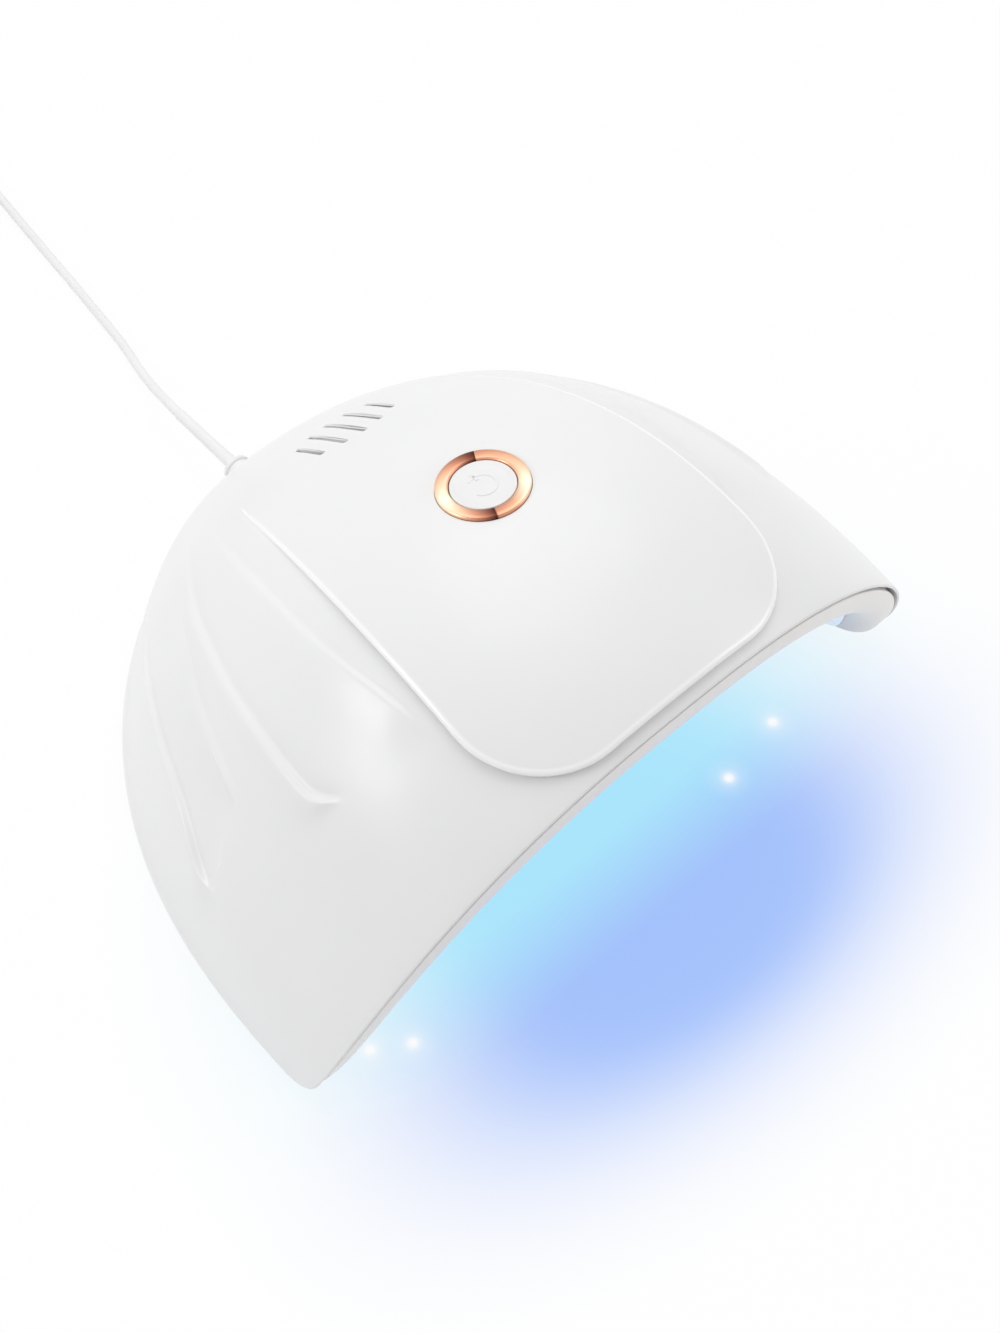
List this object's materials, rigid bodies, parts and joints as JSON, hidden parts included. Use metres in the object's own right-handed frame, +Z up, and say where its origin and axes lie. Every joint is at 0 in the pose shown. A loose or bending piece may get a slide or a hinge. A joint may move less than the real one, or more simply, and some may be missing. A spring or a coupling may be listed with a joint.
{
  "type": "uv nail lamp",
  "caption": "Domed tabletop nail-curing lamp, open at the front, with pleated white cover, raised tongue, ring-framed push button, rear vents, inner lights and a USB lead.",
  "frame": {"origin": "centre of the body's bounding box on the table plane, under the feet; the free cord is not counted", "axes": "+Z up from the table, -Y out of the hand opening at the front, +Y towards the cord at the back, +X to the user's right"},
  "size_m": [0.17, 0.3082, 0.0866],
  "materials": {
    "cover_plastic": "high gloss white",
    "housing_plastic": "smooth white",
    "liner_film": "bright reflective film, lit blue-violet by the lights",
    "ring_metal": "spun rose-gold plating with a radial sheen",
    "cap_plastic": "satin white with a faint power symbol",
    "switch_plastic": "moulded black",
    "plunger_plastic": "moulded",
    "board_laminate": "solder mask green",
    "component_body": "moulded",
    "screw_steel": "zinc plated",
    "led_laminate": "white solder mask",
    "chip_body": "ceramic with yellow phosphor",
    "lens_resin": "clear resin, lit violet",
    "wire_cover": "soft wire covering",
    "cord_jacket": "smooth white",
    "foot_rubber": "soft grey",
    "tie_plastic": "soft translucent strip",
    "plug_steel": "bright nickel plated",
    "plug_insulator": "moulded white",
    "contact_metal": "gold plated"
  },
  "bodies": {
    "lamp": {"top_cover": "cover_plastic", "inner_housing": "housing_plastic", "reflector_liner": "liner_film", "button_ring": "ring_metal", "switch_body": "switch_plastic", "control_board": "board_laminate", "board_parts": "component_body", "board_screws": "screw_steel", "led_board_top": "led_laminate", "led_board_left": "led_laminate", "led_board_right": "led_laminate", "led_chips": "chip_body", "led_lenses": "lens_resin", "led_board_screws": "screw_steel", "led_wires": "wire_cover", "cord_inner_lead": "cord_jacket", "cord_clamp": "housing_plastic", "clamp_screws": "screw_steel", "cover_screws": "screw_steel", "rubber_feet": "foot_rubber", "strain_relief": "cord_jacket", "cord_run": "cord_jacket", "cord_coil": "cord_jacket", "cord_tail": "cord_jacket", "coil_tie": "tie_plastic", "usb_grip": "cord_jacket", "usb_shell": "plug_steel", "usb_tongue": "plug_insulator", "usb_contacts": "contact_metal"},
    "button": {"power_button": "cap_plastic", "switch_plunger": "plunger_plastic"}
  },
  "joints": [
    {"name": "button_press", "type": "slide", "parent": "lamp", "child": "button", "axis": [0, -0.141, -0.99], "range_m": [0, 0.0006], "stiffness_N_per_m": 900}
  ]
}
